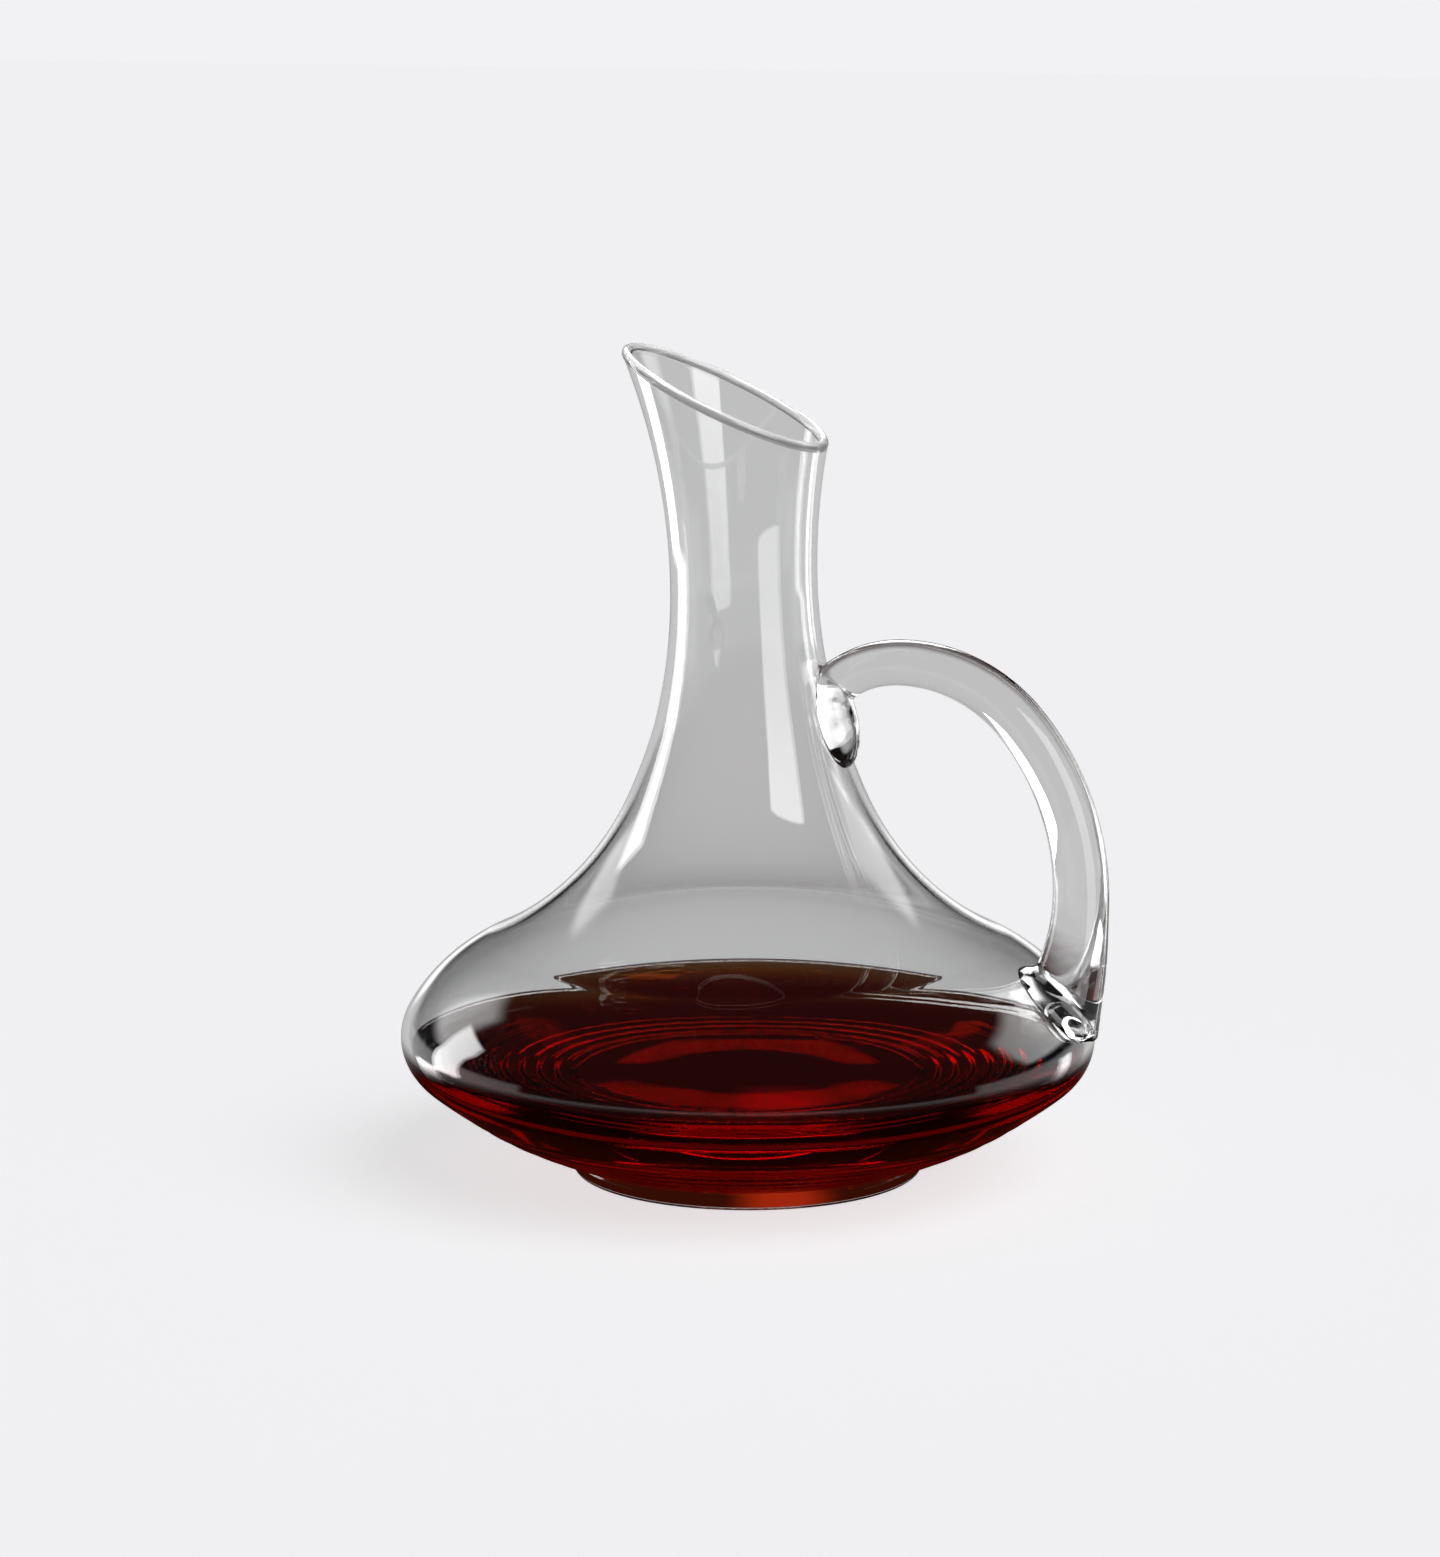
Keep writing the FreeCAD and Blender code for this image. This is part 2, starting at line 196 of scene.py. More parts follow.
def circle_points(centre_x, radius, height, count=AROUND):
    """A level ring of points, centred on the XZ plane."""
    points = []
    for step in range(count):
        turn = 2 * math.pi * step / count
        points.append((centre_x + radius * math.cos(turn), radius * math.sin(turn), height))
    return points


# ---------------------------------------------------------------- vessel

# The low rings on the bowl's underside, counted outwards from the first one's radius.
RING_FIRST = 0.054
RING_PITCH = 0.005
RING_COUNT = 7
RING_RISE = 0.00045
RING_FADE = 2
NECK_STEPS = 60
SLANT_ROUNDS = 12
# The wall stops this far below the slanted cut, inside the bead of the rim.
RIM_DROP = 0.0022
BEAD_RADIUS = 0.00135
BEAD_AROUND = 20
# The bowl's and the neck's pieces meet here.
SEAM_Z = 0.100
# The flat outer base, and the flat inner floor, as shares of the radius where each one's curved wall starts,
# then the turn from the inner floor into the wall.
BASE_SHARES = (0.5, 0.98)
FLOOR_SHARES = (0.5, 0.9)
FLOOR_TURN = 0.0012
FLOOR_TURN_RISE = 0.00005


def lean_x(height):
    """How far the leaning axis lies along X at a height."""
    return -LEAN_SLOPE * max(height - LEAN_Z, 0.0)


def neck_curve(height):
    """The outline's radius of curvature below or above the waist."""
    return NECK_CURVE if height < WAIST_Z else FLARE_CURVE


def neck_radius(height):
    """The neck's outer radius."""
    curve = neck_curve(height)
    return WAIST_RADIUS + curve - math.sqrt(curve ** 2 - (height - WAIST_Z) ** 2)


def neck_slope(height):
    """How fast the neck's radius changes with height."""
    rise = height - WAIST_Z
    return rise / math.sqrt(neck_curve(height) ** 2 - rise ** 2)


def ring_rise(radius, height):
    """How far the rings on the bowl's underside stand out from its plain outline; the outer ones fade away."""
    number = (radius - RING_FIRST) / RING_PITCH
    last = RING_COUNT - 0.5
    if height > WIDE_Z or not -0.5 <= number <= last:
        return 0.0
    fade = min(1.0, (last - number) / RING_FADE)
    return RING_RISE * fade * math.cos(math.pi * (number - round(number))) ** 2


def mouth_height(turn):
    """Where the slanted cut meets the wall at an angle round the neck, by repeated correction."""
    height = MOUTH_Z
    for _ in range(SLANT_ROUNDS):
        reach = lean_x(height) + neck_radius(height) * math.cos(turn)
        height = MOUTH_Z - MOUTH_SLOPE * reach
    return height


def neck_ring(share, inset):
    """A ring of the neck: share 0 is level at NECK_CUT_Z, share 1 follows the slanted cut."""
    points = []
    for step in range(AROUND):
        turn = 2 * math.pi * step / AROUND
        top = mouth_height(turn) - RIM_DROP
        height = NECK_CUT_Z + (top - NECK_CUT_Z) * share
        radius = neck_radius(height) - inset * math.sqrt(1 + neck_slope(height) ** 2)
        points.append((lean_x(height) + radius * math.cos(turn), radius * math.sin(turn), height))
    return points


def rim_piece():
    """The fire-polished bead round the mouth, which holds the end of the wall inside it."""
    outer, inner = neck_ring(1, 0), neck_ring(1, WALL)
    path = [(Vector(here) + Vector(there)) / 2 for here, there in zip(outer, inner)]
    rings = []
    for step in range(AROUND):
        along = (path[(step + 1) % AROUND] - path[step - 1]).normalized()
        side = (Vector(outer[step]) - Vector(inner[step])).normalized()
        upward = side.cross(along).normalized()
        ring = []
        for number in range(BEAD_AROUND):
            turn = 2 * math.pi * number / BEAD_AROUND
            ring.append(path[step] + BEAD_RADIUS * (side * math.cos(turn) + upward * math.sin(turn)))
        rings.append(ring)
    rings.append(rings[0])
    bead = ring_mesh("rim_bead", rings)
    weld(bead.data)
    return bead


def vessel_rings():
    """The rings up the outside of the vessel, and those down its inside from the mouth."""
    outline = outline_points(GLASS_STEPS)
    floor = BASE_Z + WALL
    outside = [[(0, 0, BASE_Z)]]
    for share in BASE_SHARES:
        outside.append(circle_points(0, BASE_RADIUS * share, BASE_Z))
    inside = []
    for radius, height, out, up in outline:
        rise = ring_rise(radius, height)
        outside.append(circle_points(lean_x(height), radius + out * rise, height + up * rise))
        if height - up * WALL > floor:
            inside.append(circle_points(lean_x(height), radius - out * WALL, height - up * WALL))
    corner = inside[0][0][0]
    flat = [[(0, 0, floor)]]
    for share in FLOOR_SHARES:
        flat.append(circle_points(0, corner * share, floor))
    flat.append(circle_points(0, corner - FLOOR_TURN, floor + FLOOR_TURN_RISE))
    inside = flat + inside
    for number in range(1, NECK_STEPS + 1):
        outside.append(neck_ring(number / NECK_STEPS, 0))
        inside.append(neck_ring(number / NECK_STEPS, WALL))
    inside.reverse()
    return outside, inside


def first_above(rings, height):
    """The number of the first ring that is above a height."""
    return next(number for number, ring in enumerate(rings) if ring[0][2] > height)


def vessel_pieces():
    """The vessel as a bowl and a neck that meet edge to edge, so that each can have its own light.

    Both are open there, and both take their normals from the whole vessel, so the surface runs on smoothly.
    """
    outside, inside = vessel_rings()
    rings = outside + inside
    whole = ring_mesh("vessel_whole", rings)
    normals = [vertex.normal.copy() for vertex in whole.data.vertices]
    bpy.data.objects.remove(whole)
    outer_seam = first_above(outside, SEAM_Z)
    inner_seam = len(rings) - 1 - first_above(inside[::-1], SEAM_Z - WALL / 2)
    counts = [len(ring) for ring in rings]
    low = sum(counts[:outer_seam])
    low_end = low + counts[outer_seam]
    high = sum(counts[:inner_seam])
    high_end = high + counts[inner_seam]
    bowl = ring_mesh("bowl_glass", rings[:outer_seam + 1] + rings[inner_seam:], (outer_seam,))
    bowl.data.normals_split_custom_set_from_vertices(normals[:low_end] + normals[high:])
    neck = ring_mesh("neck_glass", rings[outer_seam:inner_seam + 1])
    neck.data.normals_split_custom_set_from_vertices(normals[low:high_end])
    return bowl, neck


# ---------------------------------------------------------------- foot

FOOT_ROUND = 0.0019
FOOT_CORNER_STEPS = 8
FOOT_INSET = 0.001


def foot_piece():
    """A disc with rounded edges, whose middle stands a hair into the bowl's base."""
    rings = [[(0, 0, 0)], circle_points(0, FOOT_RADIUS * 0.5, 0)]
    corners = ((0, -90), (BASE_Z - 2 * FOOT_ROUND, 0))
    for lift, first in corners:
        for step in range(FOOT_CORNER_STEPS + 1):
            turn = math.radians(first + 90 * step / FOOT_CORNER_STEPS)
            reach = FOOT_RADIUS - FOOT_ROUND + FOOT_ROUND * math.cos(turn)
            rings.append(circle_points(0, reach, FOOT_ROUND + lift + FOOT_ROUND * math.sin(turn)))
    top = BASE_Z + OVERLAP
    rings.append(circle_points(0, BASE_RADIUS - FOOT_INSET, BASE_Z))
    rings.append(circle_points(0, BASE_RADIUS - 2 * FOOT_INSET, top))
    rings.append(circle_points(0, BASE_RADIUS * 0.5, top))
    rings.append([(0, 0, top)])
    return ring_mesh("foot_glass", rings)


# ---------------------------------------------------------------- wine

MENISCUS_RISE = 0.0007
MENISCUS_REACH = 0.0018
MENISCUS_STEPS = 12
SURFACE_SHARES = (0.6, 0.2)


def wine_piece():
    """The wine fills the bowl to its level, a hair into the glass, and climbs the wall a little."""
    inset = WALL - OVERLAP
    floor = BASE_Z + inset
    rings = [[(0, 0, floor)], circle_points(0, BASE_RADIUS * 0.5, floor)]
    top = WINE_Z + MENISCUS_RISE
    edge = 0
    for radius, height, out, up in outline_points(WINE_STEPS):
        inner_radius, inner_height = radius - out * inset, height - up * inset
        if inner_height <= floor:
            continue
        if inner_height >= top:
            break
        rings.append(circle_points(0, inner_radius, inner_height))
        edge = inner_radius
    for step in range(1, MENISCUS_STEPS + 1):
        share = step / MENISCUS_STEPS
        height = WINE_Z + MENISCUS_RISE * (1 - share) ** 3
        rings.append(circle_points(0, edge - MENISCUS_REACH * share, height))
    for share in SURFACE_SHARES:
        rings.append(circle_points(0, edge * share, WINE_Z))
    rings.append([(0, 0, WINE_Z)])
    return ring_mesh("wine_liquid", rings)


# ---------------------------------------------------------------- handle

# The rod's middle line in the XZ plane: its highest point, then each arc's radius, first and last heading in
# degrees, where 0 points along +X and 90 straight up. Its two ends run on straight, out of sight in the glass.
PEAK = Vector((0.0447, 0.1498))
PATH = ((0.030, 40, 0), (0.045, 0, -50), (0.076, -50, -90), (0.100, -90, -107))
HEADING_STEP = 2.5
ROOT_BURIED = 0.005
END_BURIED = (0.003, 0.006, 0.009)
# The rod's radius at its slim root, at full thickness and at the flare, and the shares of its length where the
# root's swelling ends, the full thickness is reached and the flare starts.
ROD_SLIM = 0.0062
ROD_THICK = 0.0083
ROD_FLARE = 0.0128
ROOT_SWELL = 0.0008
ROOT_UNTIL = 0.06
THICK_FROM = 0.85
FLARE_FROM = 0.78
FLARE_POWER = 1.6
ROD_AROUND = 64
# The teardrop below the rod's root and the pad at its foot: how far out and how high they are, how many degrees
# they are turned about Z and tilted, and half their sizes.
TAIL = {"reach": 0.027, "height": 0.133, "turn": -9, "tilt": -13, "half_sizes": (0.0062, 0.0076, 0.014)}
PAD = {"reach": 0.0905, "height": 0.055, "turn": -4, "tilt": 42, "half_sizes": (0.0135, 0.0135, 0.006)}
BLOB_AROUND = 64
BLOB_RINGS = 40
VOXEL = 0.0005
SMOOTH_SHARE = 0.5
SMOOTH_ROUNDS = 24
CORE_STEP = 0.005
CORE_RINGS = 8


def unit(heading):
    """A step of length 1 in the XZ plane."""
    angle = math.radians(heading)
    return Vector((math.cos(angle), math.sin(angle)))


def handle_path():
    """Points along the rod's middle line with their headings, root first."""
    root_curve, root_heading = PATH[0][:2]
    place = PEAK + root_curve * (unit(90 + root_heading) - unit(90))
    stations = [(place - unit(root_heading) * ROOT_BURIED, root_heading), (place, root_heading)]
    for curve, first, last in PATH:
        centre = place + unit(first - 90) * curve
        steps = max(6, round(abs(last - first) / HEADING_STEP))
        for step in range(1, steps + 1):
            heading = first + (last - first) * step / steps
            stations.append((centre + unit(heading + 90) * curve, heading))
        place = stations[-1][0]
    final = PATH[-1][2]
    for extra in END_BURIED:
        stations.append((place + unit(final) * extra, final))
    return stations


def rod_radius(share):
    """The drawn rod thickens along its length and flares where it flows on to the shoulder."""
    plain = ROD_SLIM + (ROD_THICK - ROD_SLIM) * min(share / THICK_FROM, 1)
    flare = max(0.0, (share - FLARE_FROM) / (1 - FLARE_FROM))
    root = max(0.0, 1 - share / ROOT_UNTIL)
    return plain + (ROD_FLARE - ROD_THICK) * flare ** FLARE_POWER + ROOT_SWELL * root ** 2


def rod_piece():
    """The rod alone, closed at both ends."""
    stations = handle_path()
    lengths = [0.0]
    for (before, _), (after, _) in zip(stations, stations[1:]):
        lengths.append(lengths[-1] + (after - before).length)
    rings = [[(stations[0][0].x, 0, stations[0][0].y)]]
    for (place, heading), length in zip(stations, lengths):
        radius = rod_radius(length / lengths[-1])
        across = unit(heading + 90)
        ring = []
        for step in range(ROD_AROUND):
            turn = 2 * math.pi * step / ROD_AROUND
            edge = place + across * (radius * math.cos(turn))
            ring.append((edge.x, radius * math.sin(turn), edge.y))
        rings.append(ring)
    rings.append([(stations[-1][0].x, 0, stations[-1][0].y)])
    rod = ring_mesh("rod", rings)
    weld(rod.data)
    return rod


def blob(name, place):
    """An ellipsoid of glass laid on the vessel, turned about its axis and tilted with its surface."""
    turned = Matrix.Rotation(math.radians(place["turn"]), 4, "Z")
    tilted = Matrix.Rotation(math.radians(place["tilt"]), 4, "Y")
    work = bmesh.new()
    bmesh.ops.create_uvsphere(work, u_segments=BLOB_AROUND, v_segments=BLOB_RINGS, radius=1)
    shape = Matrix.Diagonal((*place["half_sizes"], 1))
    centre = turned @ Vector((place["reach"], 0, place["height"]))
    bmesh.ops.transform(work, matrix=Matrix.Translation(centre) @ turned @ tilted @ shape, verts=work.verts)
    mesh = bpy.data.meshes.new(name)
    work.to_mesh(mesh)
    work.free()
    return add_object(name, mesh)


def apply_modifiers(piece):
    """Turn what the modifiers make of a piece into its own mesh."""
    graph = bpy.context.evaluated_depsgraph_get()
    mesh = bpy.data.meshes.new_from_object(piece.evaluated_get(graph))
    piece.modifiers.clear()
    piece.data = mesh


def core_piece():
    """The space inside the middle of the vessel's wall, which trims the handle's hidden ends."""
    inset = WALL / 2
    rings = [[(0, 0, BASE_Z)]]
    for radius, height, out, up in outline_points(CORE_STEPS):
        rings.append(circle_points(lean_x(height), radius - out * inset, height - up * inset, CORE_AROUND))
    for step in range(1, CORE_RINGS + 1):
        height = NECK_CUT_Z + CORE_STEP * step
        rings.append(circle_points(lean_x(height), neck_radius(height) - inset, height, CORE_AROUND))
    rings.append([(0, 0, NECK_CUT_Z + CORE_STEP * CORE_RINGS)])
    return ring_mesh("core", rings)


def handle_piece():
    """The rod with its teardrop and pad, melted into one shape and trimmed where it meets the vessel."""
    rod = rod_piece()
    tail = blob("tail", TAIL)
    pad = blob("pad", PAD)
    work = bmesh.new()
    for part in (rod, tail, pad):
        work.from_mesh(part.data)
    work.to_mesh(rod.data)
    work.free()
    for part in (tail, pad):
        bpy.data.objects.remove(part)
    remesh = rod.modifiers.new("fuse", "REMESH")
    remesh.mode = "VOXEL"
    remesh.voxel_size = VOXEL
    remesh.use_smooth_shade = True
    smooth = rod.modifiers.new("melt", "SMOOTH")
    smooth.factor = SMOOTH_SHARE
    smooth.iterations = SMOOTH_ROUNDS
    apply_modifiers(rod)
    core = core_piece()
    trim = rod.modifiers.new("trim", "BOOLEAN")
    trim.operation = "DIFFERENCE"
    trim.object = core
    trim.solver = "EXACT"
    apply_modifiers(rod)
    bpy.data.objects.remove(core)
    rod.data.shade_smooth()
    rod.name = "handle_glass"
    return rod


# ---------------------------------------------------------------- materials

CLEAR = (0.97, 0.972, 0.972)
# The unevenness of each surface: about how many waves there are to a metre, and how high they are.
WAVES = {
    "blown_glass": (18, 0.0002),
    "foot_glass": (30, 0.0002),
    "rod_glass": (45, 0.0006),
    "rim_glass": (60, 0.0001),
    "red_wine": (9, 0.00006),
}


def add_waves(nodes, links, shader, name):
    """A faint, slow unevenness of the surface."""
    scale, height = WAVES[name]
    coordinates = nodes.new("ShaderNodeTexCoord")
    noise = nodes.new("ShaderNodeTexNoise")
    noise.inputs["Scale"].default_value = scale
    noise.inputs["Detail"].default_value = 1.0
    bump = nodes.new("ShaderNodeBump")
    bump.inputs["Strength"].default_value = 1.0
    bump.inputs["Distance"].default_value = height
    links.new(coordinates.outputs["Object"], noise.inputs["Vector"])
    links.new(noise.outputs["Fac"], bump.inputs["Height"])
    links.new(bump.outputs["Normal"], shader.inputs["Normal"])


def glass_material(name):
    """Clear glass with the faint waviness of hand working."""
    material = bpy.data.materials.new(name)
    material.use_nodes = True
    nodes = material.node_tree.nodes
    links = material.node_tree.links
    shader = nodes["Principled BSDF"]
    shader.inputs["Base Color"].default_value = (*CLEAR, 1)
    shader.inputs["Roughness"].default_value = 0.0
    shader.inputs["IOR"].default_value = 1.5
    shader.inputs["Transmission Weight"].default_value = 1.0
    add_waves(nodes, links, shader, name)
    return material


def rim_material():
    """The polished rim is a thicker, cloudier bead that catches light all round."""
    material = glass_material("rim_glass")
    shader = material.node_tree.nodes["Principled BSDF"]
    shader.inputs["Transmission Weight"].default_value = 0.6
    shader.inputs["Roughness"].default_value = 0.05
    return material


def wine_material():
    """Red wine: its colour comes from depth, bright red where it is thin and near black where it is thick."""
    material = bpy.data.materials.new("red_wine")
    material.use_nodes = True
    nodes = material.node_tree.nodes
    links = material.node_tree.links
    shader = nodes["Principled BSDF"]
    shader.inputs["Base Color"].default_value = (1.0, 0.96, 0.95, 1)
    shader.inputs["Roughness"].default_value = 0.0
    shader.inputs["IOR"].default_value = 1.34
    shader.inputs["Specular Tint"].default_value = (0.1, 0.1, 0.1, 1)
    shader.inputs["Transmission Weight"].default_value = 1.0
    add_waves(nodes, links, shader, "red_wine")
    volume = nodes.new("ShaderNodeVolumeAbsorption")
    volume.inputs["Color"].default_value = (0.958, 0.64, 0.0, 1)
    volume.inputs["Density"].default_value = 250.0
    links.new(volume.outputs["Volume"], nodes["Material Output"].inputs["Volume"])
    return material


# ---------------------------------------------------------------- studio

# The photograph's viewing angle in degrees, and where the camera aims: a little to the left of the bowl's axis.
VIEW_AZIMUTH = 14
VIEW_ELEVATION = 10.5
VIEW_DISTANCE = 1.525
AIM_LEFT = 0.00801
AIM_HEIGHT = 0.1144
SENSOR = 36
LENS = 123.2341

# The page behind, and the even grey that the photograph shows through the glass.
PALE = (0.888, 0.888, 0.905)
SEEN_THROUGH = (0.58, 0.58, 0.585)
# Mirrored light meets this above the horizon, outside the cards.
ABOVE = (0.008, 0.008, 0.008)
HORIZON_EDGE = 5

# The table: what the glass sees of it close by, which is painted shade with a painted red glow, and how far
# from the bowl that fades out.
FLOOR_REACH = 6.0
FLOOR_LIFT = 0.0001
# Painted shade: the near-dark colour that the glass sees on the table under the decanter.
UNDER_SHADE = (0.035, 0.004, 0.001)
SHADE_NEAR = 0.16
SHADE_FAR = 0.30
SHADE_FORWARD = 0.06
# The painted red glow on it, which stands in for light gathered through the wine: its middle and soft edge
# across, its soft edge in front, and its soft outer edge.
PAINTED_GLOW_RED = (0.35, 0.02, 0.004)
PAINTED_GLOW_ASIDE = 0.009
PAINTED_GLOW_SIDES = (0.003, 0.016)
PAINTED_GLOW_FORE = (0.012, 0.030)
PAINTED_GLOW_OUTER = (0.050, 0.056)

# The share of the table's light that the shadow takes away, the sun's two tilts and its width in degrees.
SUN_SHARE = 0.2
SUN_TILT = 38
SUN_AHEAD = 26
SUN_WIDTH = 60

# Cards that mirrored light meets round the glass. Each has a bearing from straight behind the decanter, with
# right positive, half its width, its lower and upper edge above the horizon and the width of its soft edge, all
# in degrees, and its brightness.
CARDS = (
    {"bearing": 180, "half_width": 80, "low": -9, "high": 10, "edge": 3, "bright": 0.008},
    {"bearing": 0, "half_width": 14, "low": 20, "high": 46, "edge": 3, "bright": 8.0},
    {"bearing": 0, "half_width": 18, "low": -4, "high": 1, "edge": 2, "bright": 1.3},
    {"bearing": 58, "half_width": 16, "low": 11, "high": 34, "edge": 6, "bright": 1.6},
    {"bearing": -48, "half_width": 9, "low": 14, "high": 36, "edge": 6, "bright": 1.6},
    {"bearing": -15, "half_width": 12, "low": -38, "high": -22, "edge": 3, "bright": 1.1},
    {"bearing": -62, "half_width": 8, "low": -12, "high": 27, "edge": 1.5, "bright": 5.0},
    {"bearing": -46, "half_width": 8, "low": -30, "high": -11, "edge": 1.5, "bright": 5.0},
    {"bearing": 52, "half_width": 4, "low": -26, "high": -2, "edge": 1.5, "bright": 3.5},
)

# Two panels that light single pieces, described as the cards are, as seen from a height on the axis.
LAMP_AWAY = 3.0
WINDOW = {"bearing": 138, "half_width": 17.5, "low": -15, "high": 35, "dim": 2.6, "bright": 4.6,
          "seen_from": MOUTH_TOP_Z * 0.6, "mirrored_only": True}
HANDLE_LIGHT = {"bearing": 44, "half_width": 15, "low": -6, "high": 22, "dim": 2.8, "bright": 2.8,
                "seen_from": MOUTH_TOP_Z * 0.4, "mirrored_only": False}
RIM_LAMP_SIZE = 0.5
RIM_LAMP_ENERGY = 7.0
RIM_LAMP_PLACE = (0, -0.1, 0.75)


def bearing_vector(bearing):
    """A level direction: 0 is straight away from the camera, 90 is to its right."""
    turn = math.radians(bearing - VIEW_AZIMUTH)
    return (math.sin(turn), math.cos(turn), 0)


class Wires:
    """Short calls for the arithmetic nodes of one node tree."""

    def __init__(self, tree):
        self.nodes = tree.nodes
        self.links = tree.links

    def feed(self, socket, value):
        """Link a socket, or set it to a plain number."""
        if isinstance(value, (int, float)):
            socket.default_value = value
        else:
            self.links.new(value, socket)

    def sum(self, operation, *values):
        """One step of arithmetic on numbers."""
        node = self.nodes.new("ShaderNodeMath")
        node.operation = operation
        for socket, value in zip(node.inputs, values):
            self.feed(socket, value)
        return node.outputs[0]

    def measure(self, operation, vector, constant):
        """The number that a linked vector and a plain one give together."""
        node = self.nodes.new("ShaderNodeVectorMath")
        node.operation = operation
        self.links.new(vector, node.inputs[0])
        node.inputs[1].default_value = constant
        return node.outputs["Value"]

    def dot(self, vector, constant):
        return self.measure("DOT_PRODUCT", vector, constant)

    def distance(self, vector, constant):
        return self.measure("DISTANCE", vector, constant)

    def step(self, value, start, end, low=0.0, high=1.0):
        """A smooth step from low to high as the value goes from start to end."""
        node = self.nodes.new("ShaderNodeMapRange")
        node.interpolation_type = "SMOOTHSTEP"
        for socket, given in zip(node.inputs, (value, start, end, low, high)):
            self.feed(socket, given)
        return node.outputs[0]

    def mix(self, share, first, second):
        """A colour between two, each linked or plain."""
        node = self.nodes.new("ShaderNodeMix")
        node.data_type = "RGBA"
        self.feed(node.inputs["Factor"], share)
        for name, colour in (("A", first), ("B", second)):
            socket = next(item for item in node.inputs if item.name == name and item.type == "RGBA")
            if isinstance(colour, tuple):
                socket.default_value = (*colour, 1)
            else:
                self.links.new(colour, socket)
        return next(item for item in node.outputs if item.type == "RGBA")

    def path(self, output):
        """What the renderer says of the light that arrives."""
        return self.nodes.new("ShaderNodeLightPath").outputs[output]

    def mirrored(self):
        """1 for light that some surface has mirrored on its way, 0 for light that only came through."""
        return self.sum("GREATER_THAN", self.path("Glossy Depth"), 0.5)

    def emission(self, colour, strength=1.0):
        """A glow of a colour, linked or plain."""
        node = self.nodes.new("ShaderNodeEmission")
        node.inputs["Strength"].default_value = strength
        if isinstance(colour, tuple):
            node.inputs["Color"].default_value = (*colour, 1)
        else:
            self.links.new(colour, node.inputs["Color"])
        return node.outputs[0]

    def choose(self, share, first, second):
        """A surface between two."""
        node = self.nodes.new("ShaderNodeMixShader")
        for socket, given in zip(node.inputs, (share, first, second)):
            self.links.new(given, socket)
        return node.outputs[0]


def pale_table(wires):
    """What the camera sees of the table: the page's colour, less what the soft shadow takes away."""
    lit = wires.nodes.new("ShaderNodeBsdfDiffuse")
    lit.inputs["Color"].default_value = (*PALE, 1)
    pale = wires.nodes.new("ShaderNodeAddShader")
    wires.links.new(wires.emission(PALE, 1 - SUN_SHARE), pale.inputs[0])
    wires.links.new(lit.outputs[0], pale.inputs[1])
    return pale.outputs[0]


def painted_shade_and_glow(wires, place):
    """The table under the wine: painted near darkness for its shade, and a painted red patch in front for
    gathered light.
    """
    ahead = wires.dot(place, bearing_vector(180))
    aside = wires.dot(place, bearing_vector(90))
    off_middle = wires.sum("ABSOLUTE", wires.sum("SUBTRACT", aside, PAINTED_GLOW_ASIDE))
    band = wires.step(off_middle, *PAINTED_GLOW_SIDES, 1.0, 0.0)
    fore = wires.step(ahead, *PAINTED_GLOW_FORE)
    inside = wires.step(wires.distance(place, (0, 0, 0)), *PAINTED_GLOW_OUTER, 1.0, 0.0)
    share = wires.sum("MULTIPLY", wires.sum("MULTIPLY", band, fore), inside)
    # Painted shade under the wine, with a painted red glow in front that stands in for light gathered through
    # it.
    return wires.mix(share, UNDER_SHADE, PAINTED_GLOW_RED)


def table_in_glass(wires):
    """What the glass sees of the table: painted shade and a painted red glow close by, and nothing farther out.
    """
    place = wires.nodes.new("ShaderNodeTexCoord").outputs["Object"]
    centre = Vector(bearing_vector(180)) * SHADE_FORWARD
    clear = wires.nodes.new("ShaderNodeBsdfTransparent").outputs[0]
    farther = wires.step(wires.distance(place, centre), SHADE_NEAR, SHADE_FAR)
    return wires.choose(farther, wires.emission(painted_shade_and_glow(wires, place)), clear)


def studio_floor():
    """A plain pale floor. To the glass it is clear, but for the painted shade and painted dim red glow below
    the decanter.
    """
    mesh = bpy.data.meshes.new("floor")
    corners = [(-FLOOR_REACH, -FLOOR_REACH, 0), (FLOOR_REACH, -FLOOR_REACH, 0),
               (FLOOR_REACH, FLOOR_REACH, 0), (-FLOOR_REACH, FLOOR_REACH, 0)]
    mesh.from_pydata(corners, [], [(0, 1, 2, 3)])
    floor = add_object("floor", mesh)
    floor.location.z = FLOOR_LIFT
    material = bpy.data.materials.new("floor")
    material.use_nodes = True
    wires = Wires(material.node_tree)
    wires.nodes.remove(wires.nodes["Principled BSDF"])
    shown = wires.choose(wires.path("Is Camera Ray"), table_in_glass(wires), pale_table(wires))
    wires.links.new(shown, wires.nodes["Material Output"].inputs["Surface"])
    mesh.materials.append(material)
    return floor


def lay_card(wires, direction, elevation, below, card):
    """The colours below, with one lit or dark card laid over them."""
    ahead = wires.dot(direction, bearing_vector(card["bearing"]))
    aside = wires.dot(direction, bearing_vector(card["bearing"] + 90))
    bearing = wires.sum("DEGREES", wires.sum("ABSOLUTE", wires.sum("ARCTAN2", aside, ahead)))
    edge = card["edge"] / 2
    across = wires.step(bearing, card["half_width"] - edge, card["half_width"] + edge, 1.0, 0.0)
    above = wires.step(elevation, card["low"] - edge, card["low"] + edge)
    under = wires.step(elevation, card["high"] - edge, card["high"] + edge, 1.0, 0.0)
    cover = wires.sum("MULTIPLY", wires.sum("MULTIPLY", above, under), across)
    return wires.mix(cover, below, (card["bright"],) * 3)


